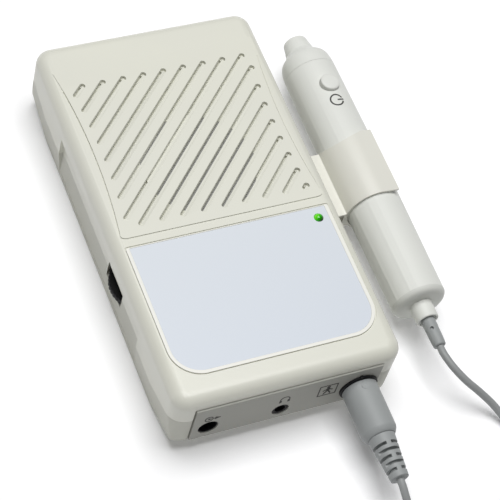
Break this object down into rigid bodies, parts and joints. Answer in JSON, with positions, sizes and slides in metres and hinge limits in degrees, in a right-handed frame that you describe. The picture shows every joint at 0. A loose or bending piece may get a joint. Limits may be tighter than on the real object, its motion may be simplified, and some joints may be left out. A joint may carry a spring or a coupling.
{
  "type": "vascular doppler",
  "caption": "hand-held ultrasonic flow detector with a speaker grille, an end panel of jacks and a corded pencil probe held in a side clip",
  "frame": {"origin": "middle of the unit's flat back, on the surface that it lies on", "axes": "+X towards the probe clip, +Y towards the speaker end, +Z out of the front face"},
  "size_m": [0.1138, 0.2406, 0.0298],
  "materials": {
    "cover": "fine matt moulded cream plastic",
    "label_rim": "smooth white plastic rim",
    "label": "pale lavender-grey printed film",
    "led": "clear green lens",
    "cloth": "black woven dust cloth",
    "dark_rubber": "black foam rubber",
    "steel": "plated steel",
    "paper_cone": "dark pressed paper",
    "magnet": "grey sintered magnet",
    "board": "green solder mask",
    "component": "black moulded packages",
    "black_plastic": "black moulded plastic",
    "contact_brass": "gold-plated brass",
    "cell_wrap": "printed wrap on a steel can",
    "clip": "glossy cream plastic",
    "probe_shell": "satin cream plastic",
    "lens": "pale epoxy face",
    "plug_grey": "matt grey moulded plastic",
    "cord_grey": "matt grey cord jacket"
  },
  "bodies": {
    "unit": {"front_cover": "cover", "back_cover": "cover", "end_panel": "cover", "label_plate": "label_rim", "label_film": "label", "power_led": "led", "speaker_cloth": "cloth", "speaker_gasket": "dark_rubber", "speaker_frame": "steel", "speaker_cone": "paper_cone", "speaker_magnet": "magnet", "main_board": "board", "board_components": "component", "board_screws": "steel", "dc_jack": "black_plastic", "dc_jack_pin": "steel", "headphone_jack": "black_plastic", "probe_socket": "black_plastic", "socket_ring": "black_plastic", "socket_contacts": "contact_brass", "volume_pot": "component", "battery_cells": "cell_wrap", "battery_springs": "steel", "battery_contacts": "steel", "case_screws": "steel", "probe_clip": "clip", "clip_screws": "steel", "cord_probe_run": "cord_grey", "cord_plug_run": "cord_grey", "cord_coil": "cord_grey", "coil_tie": "black_plastic"},
    "probe": {"probe_barrel": "probe_shell", "probe_nose": "probe_shell", "probe_tip": "probe_shell", "probe_lens": "lens", "probe_crystals": "contact_brass", "probe_backing": "component", "probe_switch": "component", "probe_board": "board", "probe_tail_cap": "probe_shell", "probe_collar": "probe_shell", "probe_bush": "cord_grey"},
    "button": {"probe_button": "probe_shell"},
    "wheel": {"volume_wheel": "black_plastic"},
    "door": {"battery_door": "cover"},
    "plug": {"plug_shell": "plug_grey", "plug_nose": "steel", "plug_pins": "contact_brass", "plug_relief": "plug_grey"}
  },
  "joints": [
    {"name": "probe_slide", "type": "slide", "parent": "unit", "child": "probe", "axis": [0, 1, 0], "range_m": [0, 0.066]},
    {"name": "button_press", "type": "slide", "parent": "probe", "child": "button", "axis": [-0.0698, 0, -0.9976], "range_m": [0, 0.0008], "stiffness_N_per_m": 400, "springref_m": -0.001},
    {"name": "volume_turn", "type": "hinge", "parent": "unit", "child": "wheel", "pos_m": [-0.0281, -0.0148, 0.0102], "axis": [0, 0, 1], "range_deg": [-150, 150]},
    {"name": "door_slide", "type": "slide", "parent": "unit", "child": "door", "axis": [0, 1, 0], "range_m": [0, 0.036]},
    {"name": "plug_pull", "type": "slide", "parent": "unit", "child": "plug", "axis": [0, -1, 0], "range_m": [0, 0.01], "deforming": ["cord_plug_run"]}
  ]
}
